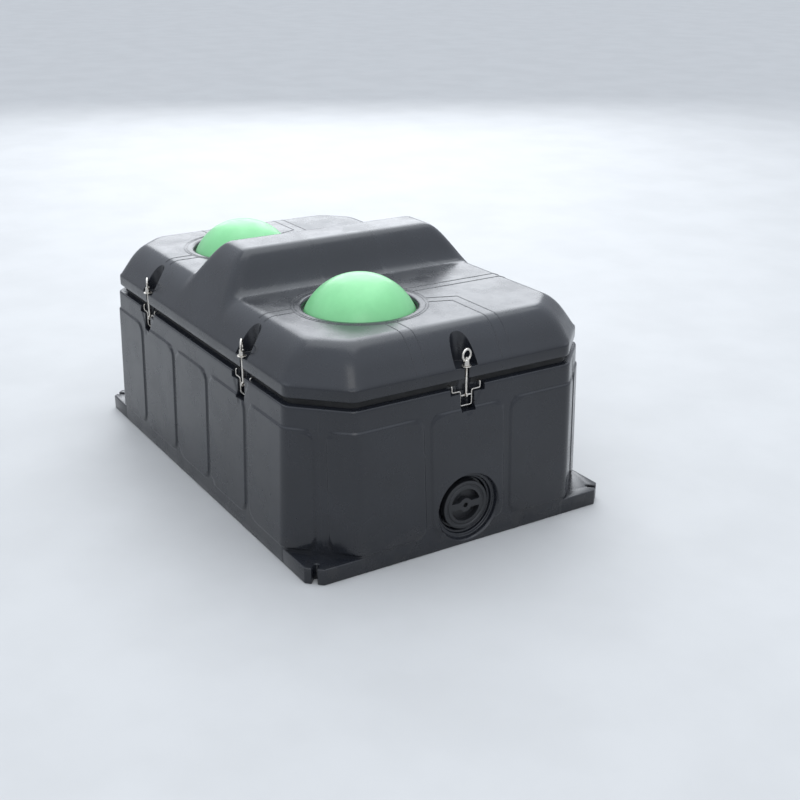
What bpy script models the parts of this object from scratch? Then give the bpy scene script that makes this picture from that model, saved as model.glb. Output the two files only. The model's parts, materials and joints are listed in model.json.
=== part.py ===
"""Insulated two-ball livestock water trough: tub, lift-off lid, floating balls, swing-bolt latches,
float valve and drain. Run it with: blender --background --python part.py

Metres, +Z up. X is the long way with the drain end at +X, and the origin is on the ground at the middle.
"""

import math

import bmesh
import bpy
from mathutils import Matrix, Vector

# ---------------------------------------------------------------- driving dimensions
GAP = 0.0004                       # clearance between touching pieces
HALF_L, HALF_W = 0.605, 0.390      # tub at its rim
CHAMFER = 0.109                    # corner cut of the rim, along each side
FOOT_L, FOOT_W = 0.619, 0.400      # half sizes of the foot
FOOT_CHAMFER = 0.126               # corner cut of the wall where it meets the foot
FOOT_TOP = 0.0375
FOOT_CORNER = 0.031                # corner cut of the foot itself
NOTCH_R, NOTCH_REACH = 0.0065, 0.0405   # anchor notch: half width, and its end from the uncut corner
RIM_Z = 0.373                      # outer edge of the tub's rim
LAND_Z = 0.383                     # raised land that carries the lid gasket
LAND_INSET = 0.018
GASKET_T = 0.0062
SKIN = 0.006                       # moulded wall thickness
BASIN_INSET_TOP, BASIN_INSET_LOW = 0.060, 0.072
BASIN_FLOOR = 0.045

LID_INSET = 0.004
LID_LOW, LID_CREASE = 0.390, 0.416
SLOPE_INSET, SLOPE_TOP = 0.047, 0.489
TOP_INSET, LID_TOP = 0.085, 0.4985
HUMP_TOP, HUMP_HALF_TOP, HUMP_HALF_FOOT = 0.590, 0.045, 0.128
LID_SKIN = 0.007

BALL_R, BALL_WALL = 0.140, 0.005
BALL_X, BALL_Y, BALL_Z = 0.311, -0.098, 0.430
HOLE_R, COLLAR_R = 0.131, 0.147    # mouth of the drinking hole and bore of the collar under it
SEAT_Z = 0.4872                    # underside of the lip that holds the ball seal

LATCH_X = 0.285                    # long-side latches at plus and minus this
LATCH_INSET = 0.007                # from the rim face in to the bolt
PIVOT_Z = 0.352
LEDGE_Z = 0.4155
WASHER_LIFT = 0.0025
WIRE_R, PIN_R, BOLT_R = 0.0016, 0.002, 0.003
U_HALF, WING = 0.0150, 0.037       # half widths of the wire bracket's loop and of its wings

DRAIN_Z = 0.0895
DRAIN_BORE_R, CAP_R = 0.042, 0.058
CAP_FACE_DEPTH, CAP_T = 0.008, 0.013

PORT_X = -0.2                      # foam filling port under the floor
VALVE_Y, PIPE_R = 0.200, 0.0135
ARM_PIVOT = Vector((0.0, 0.152, 0.402))
FLOAT_Y, FLOAT_Z = 0.030, 0.352

PLASTIC = ("moulded_black", (0.035, 0.038, 0.045), 0.42, 0.0)
GREEN = ("ball_green", (0.25, 0.62, 0.27), 0.45, 0.0)
STEEL = ("stainless_steel", (0.62, 0.60, 0.57), 0.28, 1.0)
BRASS = ("brass", (0.70, 0.52, 0.22), 0.35, 1.0)
RUBBER = ("seal_rubber", (0.02, 0.02, 0.02), 0.8, 0.0)
FOAM = ("insulation_foam", (0.85, 0.78, 0.55), 0.9, 0.0)
PIPE = ("pipe_blue", (0.05, 0.16, 0.42), 0.5, 0.0)
FLOAT = ("float_red", (0.55, 0.06, 0.04), 0.5, 0.0)


# ---------------------------------------------------------------- scene helpers
def clear_scene():
    for old in list(bpy.data.objects):
        bpy.data.objects.remove(old)


def new_collection(name):
    made = bpy.data.collections.new(name)
    bpy.context.scene.collection.children.link(made)
    return made


clear_scene()
PARTS = new_collection("water_trough")
CUTTERS = new_collection("cutters")


def material(spec):
    name, colour, roughness, metallic = spec
    found = bpy.data.materials.get(name)
    if found:
        return found
    made = bpy.data.materials.new(name)
    made.use_nodes = True
    shader = made.node_tree.nodes["Principled BSDF"]
    shader.inputs["Base Color"].default_value = (*colour, 1.0)
    shader.inputs["Roughness"].default_value = roughness
    shader.inputs["Metallic"].default_value = metallic
    return made


def mesh_object(name, bm, spec=None, smooth=True):
    """Closes a bmesh into an object: a part where it has a material, and otherwise a cutter."""
    bmesh.ops.recalc_face_normals(bm, faces=bm.faces)
    mesh = bpy.data.meshes.new(name)
    bm.to_mesh(mesh)
    bm.free()
    made = bpy.data.objects.new(name, mesh)
    if spec:
        PARTS.objects.link(made)
        mesh.materials.append(material(spec))
        if smooth:
            mesh.shade_smooth()
            mesh.set_sharp_from_angle(angle=math.radians(35))
    else:
        CUTTERS.objects.link(made)
        made.hide_render = True
        made.display_type = "WIRE"
    return made


def boolean(target, cutter, operation="DIFFERENCE"):
    step = target.modifiers.new(f"{operation.lower()}_{cutter.name}", "BOOLEAN")
    step.operation = operation
    step.object = cutter
    return target


# ---------------------------------------------------------------- shape helpers
def box(name, low, high, spec=None):
    bm = bmesh.new()
    size = Vector(high) - Vector(low)
    centre = (Vector(high) + Vector(low)) / 2
    bmesh.ops.create_cube(bm, size=1.0, matrix=Matrix.Translation(centre) @ Matrix.Diagonal((*size, 1.0)))
    return mesh_object(name, bm, spec)


def add_cylinder(bm, start, end, r1, r2=None, sides=24):
    start, end = Vector(start), Vector(end)
    along = end - start
    turn = along.to_track_quat("Z", "Y").to_matrix().to_4x4()
    place = Matrix.Translation((start + end) / 2) @ turn
    bmesh.ops.create_cone(bm, cap_ends=True, segments=sides, radius1=r1,
                          radius2=r1 if r2 is None else r2, depth=along.length, matrix=place)


def cylinder(name, start, end, r1, r2=None, sides=24, spec=None):
    bm = bmesh.new()
    add_cylinder(bm, start, end, r1, r2, sides)
    return mesh_object(name, bm, spec)


def octagon(half_l, half_w, chamfer, z):
    """Corners of a chamfered rectangle, anticlockwise from above."""
    return [Vector((x, y, z)) for x, y in (
        (half_l, -half_w + chamfer), (half_l, half_w - chamfer),
        (half_l - chamfer, half_w), (-half_l + chamfer, half_w),
        (-half_l, half_w - chamfer), (-half_l, -half_w + chamfer),
        (-half_l + chamfer, -half_w), (half_l - chamfer, -half_w))]


def inset_octagon(inset, z, half_l=HALF_L, half_w=HALF_W, chamfer=CHAMFER):
    """The same octagon with every side moved in by inset."""
    slimmer = chamfer - inset * (2 - math.sqrt(2))
    return octagon(half_l - inset, half_w - inset, slimmer, z)


def loft(name, rings, spec=None):
    """A closed solid through rings of equally many corners, capped at both ends."""
    bm = bmesh.new()
    rows = [[bm.verts.new(p) for p in ring] for ring in rings]
    count = len(rows[0])
    for low, high in zip(rows, rows[1:]):
        for i in range(count):
            j = (i + 1) % count
            bm.faces.new((low[i], low[j], high[j], high[i]))
    bm.faces.new(rows[0])
    bm.faces.new(rows[-1])
    return mesh_object(name, bm, spec)


def prism(name, outline, axis_from, axis_to, spec=None):
    """A flat outline of (x, z) points, carried along Y."""
    return loft(name, [[Vector((x, y, z)) for x, z in outline] for y in (axis_from, axis_to)], spec)


def turned(name, profile, centre=(0, 0, 0), axis="Z", steps=32, spec=None):
    """A closed (radius, height) loop swept once round the axis."""
    bm = bmesh.new()
    loop = [bm.verts.new((r, 0.0, h)) for r, h in profile]
    edges = [bm.edges.new((a, b)) for a, b in zip(loop, loop[1:] + loop[:1])]
    bmesh.ops.spin(bm, geom=loop + edges, cent=(0, 0, 0), axis=(0, 0, 1), steps=steps,
                   angle=math.tau, use_merge=True)
    bmesh.ops.remove_doubles(bm, verts=bm.verts, dist=1e-6)
    if axis == "X":
        bmesh.ops.rotate(bm, verts=bm.verts, matrix=Matrix.Rotation(math.pi / 2, 3, "Y"))
    bmesh.ops.translate(bm, verts=bm.verts, vec=centre)
    return mesh_object(name, bm, spec)


def solid_turned(name, profile, centre=(0, 0, 0), axis="Z", steps=32, spec=None):
    """A solid of revolution through (radius, height) rows, with flat ends."""
    rings = [[Vector((r * math.cos(a), r * math.sin(a), h)) for a in (math.tau * k / steps for k in range(steps))]
             for r, h in profile]
    made = loft(name, rings, spec)
    if axis == "X":
        made.data.transform(Matrix.Rotation(math.pi / 2, 4, "Y"))
    made.data.transform(Matrix.Translation(centre))
    return made


def wire(name, points, radius, spec, resolution=1):
    curve = bpy.data.curves.new(name, "CURVE")
    curve.dimensions = "3D"
    curve.bevel_depth = radius
    curve.bevel_resolution = resolution
    curve.use_fill_caps = True
    line = curve.splines.new("POLY")
    line.points.add(len(points) - 1)
    for point, co in zip(line.points, points):
        point.co = (*co, 1.0)
    curve.materials.append(material(spec))
    made = bpy.data.objects.new(name, curve)
    PARTS.objects.link(made)
    return made


def rounded_path(corners, radius, steps=2):
    """The corners with each inner one replaced by a short arc."""
    path = [Vector(corners[0])]
    for before, here, after in zip(corners, corners[1:], corners[2:]):
        here = Vector(here)
        start = here + (Vector(before) - here).normalized() * radius
        end = here + (Vector(after) - here).normalized() * radius
        for k in range(steps + 1):
            t = k / steps
            path.append(start * (1 - t) ** 2 + here * 2 * t * (1 - t) + end * t * t)
    path.append(Vector(corners[-1]))
    return path


# ---------------------------------------------------------------- tub
def latch_places():
    """(name, point on the rim face, angle of the outward direction) of each of the six latches."""
    places = [("end_front", (HALF_L, 0.0), 0.0), ("end_rear", (-HALF_L, 0.0), math.pi)]
    for side, word in ((-1, "left"), (1, "right")):
        for x, where in ((LATCH_X, "front"), (-LATCH_X, "rear")):
            places.append((f"{word}_{where}", (x, side * HALF_W), side * math.pi / 2))
    return places


def local_to_world(point, angle):
    """Maps (out, along, z) at a latch to the world: out points away from the tub."""
    turn = Matrix.Rotation(angle, 4, "Z")
    return Matrix.Translation((point[0], point[1], 0.0)) @ turn


def placed(made, point, angle):
    made.data.transform(local_to_world(point, angle))
    return made


def foot_rings(z):
    return octagon(FOOT_L, FOOT_W, FOOT_CORNER, z)


def drain_bore(name, radius, x_from, x_to, sides=36):
    return cylinder(name, (x_from, 0, DRAIN_Z), (x_to, 0, DRAIN_Z), radius, sides=sides)


def foam_space(name, extra, spec=None):
    """What is left between the tub's outer and inner walls; extra shrinks it on every side.

    Above the wall fields it steps in, behind the latch pockets.
    """
    skin = SKIN + extra
    space = loft(name, [
        inset_octagon(skin + 0.001, 0.007 + extra, FOOT_L, FOOT_W, FOOT_CHAMFER),
        inset_octagon(skin + 0.001, FOOT_TOP, FOOT_L, FOOT_W, FOOT_CHAMFER),
        inset_octagon(skin + 0.002, 0.302 - extra), inset_octagon(skin + 0.030, 0.310 - extra),
        inset_octagon(skin + 0.032, 0.352 - extra)], spec)
    inner = loft(f"{name}_basin", [
        inset_octagon(BASIN_INSET_LOW - skin, BASIN_FLOOR - skin),
        inset_octagon(BASIN_INSET_TOP - skin, LAND_Z)])
    boolean(space, inner)
    boolean(space, drain_bore(f"{name}_drain", 0.084 + extra, 0.40, 0.70))
    boolean(space, cylinder(f"{name}_inlet", (0, VALVE_Y, -0.01), (0, VALVE_Y, 0.06), 0.046 + extra, sides=32))
    return space


def corner_slots():
    """One cutter for each of the foot's four anchor notches: an open slot along the corner's diagonal."""
    cutters = []
    for sx in (-1, 1):
        for sy in (-1, 1):
            corner = Vector((sx * FOOT_L, sy * FOOT_W, 0))
            inward = Vector((-sx, -sy, 0)).normalized()
            bm = bmesh.new()
            end = corner + inward * NOTCH_REACH
            add_cylinder(bm, end - Vector((0, 0, 0.02)), end + Vector((0, 0, 0.08)), NOTCH_R, sides=16)
            cutters.append(mesh_object(f"slot_end_{sx}_{sy}", bm))
            across = Vector((-inward.y, inward.x, 0)) * NOTCH_R
            outer = corner - inward * 0.02
            flat = [end + across, end - across, outer - across, outer + across]
            rings = [[Vector((p.x, p.y, z)) for p in flat] for z in (-0.02, 0.08)]
            cutters.append(loft(f"slot_{sx}_{sy}", rings))
    return cutters


def make_tub():
    tub = loft("base_tub", [
        foot_rings(0.0), foot_rings(FOOT_TOP)], PLASTIC)
    walls = loft("tub_walls", [
        octagon(FOOT_L - 0.0002, FOOT_W - 0.0002, FOOT_CHAMFER, 0.004),
        octagon(FOOT_L - 0.0002, FOOT_W - 0.0002, FOOT_CHAMFER, FOOT_TOP),
        inset_octagon(0.0, RIM_Z - 0.004), inset_octagon(0.004, RIM_Z)])
    boolean(tub, walls, "UNION")
    land = loft("tub_land", [inset_octagon(LAND_INSET, 0.30), inset_octagon(LAND_INSET, LAND_Z)])
    boolean(tub, land, "UNION")
    basin = loft("tub_basin", [
        inset_octagon(BASIN_INSET_LOW, BASIN_FLOOR), inset_octagon(BASIN_INSET_TOP, LAND_Z + 0.02)])
    boolean(tub, basin)
    boolean(tub, foam_space("tub_foam_space", 0.0))
    boolean(tub, cylinder("tub_port", (PORT_X, 0, -0.01), (PORT_X, 0, 0.012), 0.020, sides=24))
    for cutter in corner_slots():
        boolean(tub, cutter)
    face = HALF_L + 0.02
    for radius, depth in ((0.078, 0.010), (0.070, 0.018), (0.064, 0.030)):
        boolean(tub, drain_bore(f"tub_drain_step_{radius}", radius, FOOT_L - 0.004 - depth, face))
    boolean(tub, drain_bore("tub_drain_bore", DRAIN_BORE_R + 0.008, 0.50, face))
    boolean(tub, cylinder("tub_inlet", (0, VALVE_Y, -0.01), (0, VALVE_Y, 0.10), 0.017, sides=24))
    boolean(tub, cylinder("tub_inlet_well", (0, VALVE_Y, -0.01), (0, VALVE_Y, 0.030), 0.040, sides=32))
    for name, point, angle in latch_places():
        low = (-0.024, -0.018, 0.318)
        boolean(tub, placed(box(f"notch_{name}", low, (0.03, 0.018, 0.40)), point, angle))
        step = box(f"step_{name}", (-LAND_INSET, -0.046, 0.358), (0.03, 0.046, 0.40))
        boolean(tub, placed(step, point, angle))
        for side in (-1, 1):
            y = side * WING
            hole = cylinder(f"wire_hole_{name}_{side}", (-0.034, y, 0.3775), (0, y, 0.3775), 0.0022, sides=10)
            boolean(tub, placed(hole, point, angle))
    return tub


def make_tub_insulation():
    foam_space("tub_insulation", GAP, FOAM)
    cylinder("foam_port_plug", (PORT_X, 0, 0.0012), (PORT_X, 0, 0.0070), 0.0194, sides=24, spec=PLASTIC)


# ---------------------------------------------------------------- lid
def hump_outline(shrink):
    """(x, z) outline of the cross hump, as a smooth rise and fall; shrink moves it in on every side."""
    base = 0.44
    rise = HUMP_TOP - LID_TOP
    half_top, half_foot = HUMP_HALF_TOP - shrink * 0.5, HUMP_HALF_FOOT - shrink
    points = []
    for k in range(9):
        t = k / 8
        z = LID_TOP - 0.002 - shrink + (rise + 0.002) * (1 - math.cos(math.pi * t)) / 2
        points.append((half_foot + (half_top - half_foot) * t, z))
    right = [(half_foot, base)] + points
    return right + [(-x, z) for x, z in reversed(right)]


def lid_form(name, shrink, low_z, spec=None):
    """The lid's outer form, or the same moved in by shrink."""
    inset = LID_INSET + shrink
    low = loft(name, [
        inset_octagon(inset, low_z), inset_octagon(inset, LID_CREASE - 0.4 * shrink),
        inset_octagon(LID_INSET + SLOPE_INSET + 0.55 * shrink, SLOPE_TOP - 0.75 * shrink),
        inset_octagon(LID_INSET + TOP_INSET + 0.3 * shrink, LID_TOP - shrink)], spec)
    slope = SLOPE_INSET / (SLOPE_TOP - LID_CREASE)
    reach = HUMP_TOP + 0.02 - LID_CREASE
    steep = loft(f"{name}_steep", [
        inset_octagon(inset + 0.001, LID_CREASE - 0.4 * shrink),
        inset_octagon(inset + 0.001 + slope * reach, LID_CREASE - 0.4 * shrink + reach)])
    hump = prism(f"{name}_hump", hump_outline(shrink), -HALF_W, HALF_W)
    boolean(hump, steep, "INTERSECT")
    boolean(low, hump, "UNION")
    return low


def pocket(name, point, angle, grow=0.0):
    """Upright elliptical recess for a ring nut, from the ledge up."""
    bm = bmesh.new()
    add_cylinder(bm, (0, 0, LEDGE_Z - grow), (0, 0, 0.52), 1.0, sides=20)
    bmesh.ops.scale(bm, verts=bm.verts, vec=(0.052 + grow, 0.030 + grow, 1.0))
    bmesh.ops.translate(bm, verts=bm.verts, vec=(-LID_INSET, 0, 0))
    return placed(mesh_object(name, bm), point, angle)


def ball_places():
    return (("front", BALL_X), ("rear", -BALL_X))


def make_lid():
    lid = lid_form("lid_shell", 0.0, LID_LOW, PLASTIC)
    hollow = lid_form("lid_hollow", LID_SKIN, LID_LOW - 0.02)
    for word, x in ball_places():
        around = cylinder(f"collar_keep_{word}", (x, BALL_Y, 0.36), (x, BALL_Y, 0.53), COLLAR_R + 0.006, sides=36)
        boolean(hollow, around)
    for name, point, angle in latch_places():
        boolean(hollow, pocket(f"pocket_keep_{name}", point, angle, 0.006))
        keep = box(f"slot_keep_{name}", (-0.024, -0.014, 0.36), (0.02, 0.014, LEDGE_Z + 0.01))
        boolean(hollow, placed(keep, point, angle))
    boolean(lid, hollow)
    for word, x in ball_places():
        boolean(lid, cylinder(f"mouth_{word}", (x, BALL_Y, 0.36), (x, BALL_Y, 0.53), HOLE_R, sides=44))
        flare = cylinder(f"flare_{word}", (x, BALL_Y, LID_TOP - 0.006), (x, BALL_Y, LID_TOP + 0.004),
                         HOLE_R, HOLE_R + 0.006, sides=44)
        boolean(lid, flare)
        boolean(lid, cylinder(f"collar_{word}", (x, BALL_Y, 0.36), (x, BALL_Y, SEAT_Z), COLLAR_R, sides=40))
    for name, point, angle in latch_places():
        boolean(lid, pocket(f"pocket_{name}", point, angle))
        slot = box(f"slot_{name}", (-0.016, -0.006, 0.36), (0.03, 0.006, LEDGE_Z + 0.01))
        boolean(lid, placed(slot, point, angle))
    return lid


def make_lid_insulation(word, sign):
    """A foam panel under one half of the lid, round its drinking hole and clear of the hump."""
    top_z, low_z = LID_TOP - LID_SKIN - GAP, LID_LOW
    inner_x = HUMP_HALF_FOOT + 0.004
    panel = loft(f"lid_insulation_{word}", [
        inset_octagon(BASIN_INSET_TOP + 0.006, low_z - 0.014), inset_octagon(BASIN_INSET_TOP + 0.006, low_z),
        inset_octagon(LID_INSET + SLOPE_INSET + 0.012, SLOPE_TOP - 0.012),
        inset_octagon(LID_INSET + TOP_INSET + 0.012, top_z)], FOAM)
    half = box(f"panel_cut_{word}", (-sign * 0.8 if sign > 0 else inner_x * sign, -0.5, 0.3),
               (inner_x if sign > 0 else 0.8, 0.5, 0.6))
    boolean(panel, half)
    x = sign * BALL_X
    boolean(panel, cylinder(f"panel_hole_{word}", (x, BALL_Y, 0.3), (x, BALL_Y, 0.6), COLLAR_R + 0.0066, sides=36))
    for name, point, angle in latch_places():
        boolean(panel, pocket(f"panel_pocket_{word}_{name}", point, angle, 0.0066))
        keep = box(f"panel_slot_{word}_{name}", (-0.0246, -0.0146, 0.36), (0.02, 0.0146, LEDGE_Z + 0.012))
        boolean(panel, placed(keep, point, angle))
    return panel


def make_lid_gasket():
    gasket = loft("lid_gasket", [
        inset_octagon(LAND_INSET + 0.008, LAND_Z + GAP), inset_octagon(LAND_INSET + 0.008, LAND_Z + GASKET_T)], RUBBER)
    boolean(gasket, loft("gasket_inner", [
        inset_octagon(LAND_INSET + 0.026, 0.36), inset_octagon(LAND_INSET + 0.026, 0.42)]))
    for name, point, angle in latch_places():
        keep = box(f"gasket_slot_{name}", (-0.0246, -0.0186, 0.36), (0.02, 0.0186, 0.42))
        boolean(gasket, placed(keep, point, angle))


# ---------------------------------------------------------------- balls
def make_ball(word, x):
    """A hollow float with a plugged moulding hole at its bottom."""
    bm = bmesh.new()
    centre = Matrix.Translation((x, BALL_Y, BALL_Z))
    bmesh.ops.create_uvsphere(bm, u_segments=28, v_segments=14, radius=BALL_R, matrix=centre)
    ball = mesh_object(f"ball_{word}", bm, GREEN)
    ball.data.shade_smooth()
    inner = bmesh.new()
    bmesh.ops.create_uvsphere(inner, u_segments=16, v_segments=8, radius=BALL_R - BALL_WALL, matrix=centre)
    boolean(ball, mesh_object(f"ball_inner_{word}", inner))
    low = BALL_Z - BALL_R
    boolean(ball, cylinder(f"ball_hole_{word}", (x, BALL_Y, low - 0.01), (x, BALL_Y, low + 0.03), 0.008, sides=16))
    cylinder(f"ball_plug_{word}", (x, BALL_Y, low + 0.0005), (x, BALL_Y, low + 0.010), 0.0074, sides=16, spec=GREEN)


def make_ball_seal(word, x):
    """A soft ring under the lip; its inside follows the ball with a small clearance."""
    reach = BALL_R + 0.0006
    heights = [0.4785, 0.4825, SEAT_Z - GAP]
    inside = [(math.sqrt(reach ** 2 - (z - BALL_Z) ** 2), z) for z in heights]
    outside = [(COLLAR_R - GAP, heights[-1]), (COLLAR_R - GAP, heights[0])]
    turned(f"ball_seal_{word}", [(r, z) for r, z in inside + outside], (x, BALL_Y, 0), spec=RUBBER, steps=40)


# ---------------------------------------------------------------- latches
def latch_wire(name, point, angle):
    """Sprung wire bracket: two wings hooked into the rim and a loop hanging in the notch."""
    x, low, wing_z, hook_z = -LATCH_INSET, 0.3285, 0.3625, 0.3775
    half = [(-0.026, WING, hook_z), (x, WING, hook_z), (x, WING, wing_z), (x, U_HALF, wing_z), (x, U_HALF, low)]
    corners = half + [(px, -py, pz) for px, py, pz in reversed(half)]
    place = local_to_world(point, angle)
    path = [place @ p for p in rounded_path(corners, 0.0035)]
    wire(f"latch_bracket_{name}", path, WIRE_R, STEEL)


def make_latch(name, point, angle):
    place = local_to_world(point, angle)
    x = -LATCH_INSET
    latch_wire(name, point, angle)
    reach = U_HALF - WIRE_R - GAP
    placed(cylinder(f"latch_pin_{name}", (x, -reach, PIVOT_Z), (x, reach, PIVOT_Z), PIN_R, sides=12, spec=STEEL),
           point, angle)
    top = 0.4385
    bolt = cylinder(f"swing_bolt_{name}", (x, -0.003, PIVOT_Z), (x, 0.003, PIVOT_Z), 0.0062, sides=16, spec=STEEL)
    rod = cylinder(f"bolt_rod_{name}", (x, 0, PIVOT_Z + 0.003), (x, 0, top), BOLT_R, sides=10)
    boolean(bolt, rod, "UNION")
    eye = cylinder(f"bolt_eye_{name}", (x, -0.01, PIVOT_Z), (x, 0.01, PIVOT_Z), PIN_R + 0.0004, sides=16)
    boolean(bolt, eye)
    for made in (bolt, rod, eye):
        placed(made, point, angle)
    under = LEDGE_Z + WASHER_LIFT
    inner = BOLT_R + 0.0004
    centre = place @ Vector((x, 0, 0))
    turned(f"latch_washer_{name}", [(inner, under), (0.011, under), (0.011, under + 0.0016), (inner, under + 0.0016)],
           centre, steps=20, spec=STEEL)
    make_ring_nut(name, place @ Vector((x, 0, under + 0.0016 + GAP)), angle)


def make_ring_nut(name, seat, angle):
    """A collar with a bore for the bolt, and the ring that is turned by hand."""
    twist = {"end_front": 0.25, "end_rear": -0.3, "left_front": -0.55, "left_rear": -0.4}.get(name, 0.35)
    collar = [(0.0068, 0.0), (0.0068, 0.010), (0.0054, 0.0148)]
    nut = solid_turned(f"ring_nut_{name}", collar, spec=STEEL, steps=16)
    ring_bm = bmesh.new()
    around, across, major, minor = 20, 6, 0.0125, 0.0028
    rows = []
    for i in range(around):
        a = math.tau * i / around
        out = Vector((0, math.cos(a), math.sin(a)))
        row = []
        for j in range(across):
            b = math.tau * (j + 0.5) / across
            offset = out * (major + minor * math.cos(b)) + Vector((minor * math.sin(b), 0, 0))
            row.append(ring_bm.verts.new(offset + Vector((0, 0, 0.0235))))
        rows.append(row)
    for i in range(around):
        for j in range(across):
            i2, j2 = (i + 1) % around, (j + 1) % across
            ring_bm.faces.new((rows[i][j], rows[i2][j], rows[i2][j2], rows[i][j2]))
    ring = mesh_object(f"nut_ring_{name}", ring_bm)
    boolean(nut, ring, "UNION")
    bore = cylinder(f"nut_bore_{name}", (0, 0, -0.002), (0, 0, 0.0175), BOLT_R + 0.0004, sides=16)
    boolean(nut, bore)
    for made in (nut, ring, bore):
        made.data.transform(Matrix.Translation(seat) @ Matrix.Rotation(angle + twist, 4, "Z"))


# ---------------------------------------------------------------- drain
def make_drain():
    face_x = FOOT_L - 0.004 - CAP_FACE_DEPTH
    seat_x = FOOT_L - 0.004 - 0.030
    bore_end = 0.5385
    turned("drain_socket", [
        (DRAIN_BORE_R, bore_end), (DRAIN_BORE_R, seat_x - GAP), (DRAIN_BORE_R + 0.0076, seat_x - GAP),
        (DRAIN_BORE_R + 0.0076, bore_end)], (0, 0, DRAIN_Z), "X", spec=PLASTIC)
    turned("drain_seal", [
        (DRAIN_BORE_R - 0.0015, seat_x + GAP), (0.0545, seat_x + GAP), (0.0545, seat_x + 0.0036),
        (DRAIN_BORE_R - 0.0015, seat_x + 0.0036)], (0, 0, DRAIN_Z), "X", spec=RUBBER)
    cap_back = seat_x + 0.004
    cap = solid_turned("drain_plug", [
        (DRAIN_BORE_R - 0.0025, 0.552), (DRAIN_BORE_R - 0.0025, cap_back), (CAP_R, cap_back),
        (CAP_R, face_x - 0.004), (CAP_R - 0.004, face_x)], (0, 0, DRAIN_Z), "X", spec=PLASTIC)
    for sign in (-1, 1):
        boolean(cap, kidney(f"cap_grip_{sign}", sign, face_x))
    boolean(cap, box("cap_square", (face_x - 0.006, -0.0065, DRAIN_Z - 0.0065), (face_x + 0.01, 0.0065, DRAIN_Z + 0.0065)))


def kidney(name, sign, face_x):
    """Finger recess on one side of the cap's grip bar, which swells round the hub."""
    outer, bar, hub = 0.043, 0.009, 0.0165
    start, steps = math.asin(bar / outer) + 0.12, 14
    arc = [(outer * math.cos(a), outer * math.sin(a))
           for a in (start + (math.pi - 2 * start) * k / steps for k in range(steps + 1))]
    bite = math.asin(min(1.0, bar / hub))
    hub_arc = [(hub * math.cos(a), hub * math.sin(a))
               for a in (math.pi - bite - (math.pi - 2 * bite) * k / 8 for k in range(9))]
    outline = arc + [(-outer * math.cos(start) + 0.003, bar)] + hub_arc + [(outer * math.cos(start) - 0.003, bar)]
    depth = (face_x - 0.0095, face_x + 0.01)
    return loft(name, [[Vector((x, y, DRAIN_Z + sign * z)) for y, z in outline] for x in depth])


# ---------------------------------------------------------------- inlet and float valve
def hex_nut(name, base, low, high, across, bore):
    x, y, z = base
    nut = cylinder(name, (x, y, z + low), (x, y, z + high), across, sides=6, spec=BRASS)
    boolean(nut, cylinder(f"{name}_bore", (x, y, z + low - 0.01), (x, y, z + high + 0.01), bore, sides=24))


def make_inlet():
    base = (0, VALVE_Y, 0)
    turned("inlet_union", [
        (0.0085, 0.010), (0.0165, 0.010), (0.0165, 0.030 + GAP), (0.0165, 0.052), (0.0085, 0.052)], base, spec=BRASS, steps=24)
    hex_nut("inlet_nut_upper", base, 0.0455, 0.0515, 0.0270, 0.0169)
    hex_nut("inlet_nut_lower", base, 0.0220, 0.0295, 0.0270, 0.0169)
    turned("riser_pipe", [
        (0.0105, 0.0524), (PIPE_R, 0.0524), (PIPE_R, 0.400), (0.0105, 0.400)], base, spec=PIPE, steps=20)


def make_valve():
    """Valve body on the riser, with a piston that the float arm pushes, and a guard plate on two legs."""
    y = VALVE_Y
    body = turned("valve_body", [
        (0.0060, 0.4004), (0.0165, 0.4004), (0.0165, 0.426), (0.0060, 0.426)], (0, y, 0), spec=BRASS, steps=20)
    barrel = cylinder("valve_barrel", (0, y + 0.014, 0.416), (0, y - 0.045, 0.416), 0.012, sides=20)
    boolean(body, barrel, "UNION")
    boolean(body, cylinder("valve_bore", (0, y - 0.060, 0.416), (0, y - 0.004, 0.416), 0.0072, sides=16))
    for side in (-1, 1):
        low, high = sorted((side * 0.0065, side * 0.0105))
        ear = box(f"valve_ear_{side}", (low, ARM_PIVOT.y - 0.006, 0.394), (high, y - 0.026, 0.414))
        boolean(body, ear, "UNION")
    bore = cylinder("valve_pin_hole", (-0.02, *ARM_PIVOT.yz), (0.02, *ARM_PIVOT.yz), 0.0026, sides=12)
    boolean(body, bore)
    boolean(body, box("valve_arm_slot", (-0.0064, 0.10, 0.38), (0.0064, y - 0.030, 0.4115)))
    cylinder("arm_pin", (-0.013, *ARM_PIVOT.yz), (0.013, *ARM_PIVOT.yz), 0.0021, sides=12, spec=STEEL)
    cylinder("valve_piston", (0, y - 0.0565, 0.416), (0, y - 0.0085, 0.416), 0.0066, sides=16, spec=BRASS)


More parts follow.
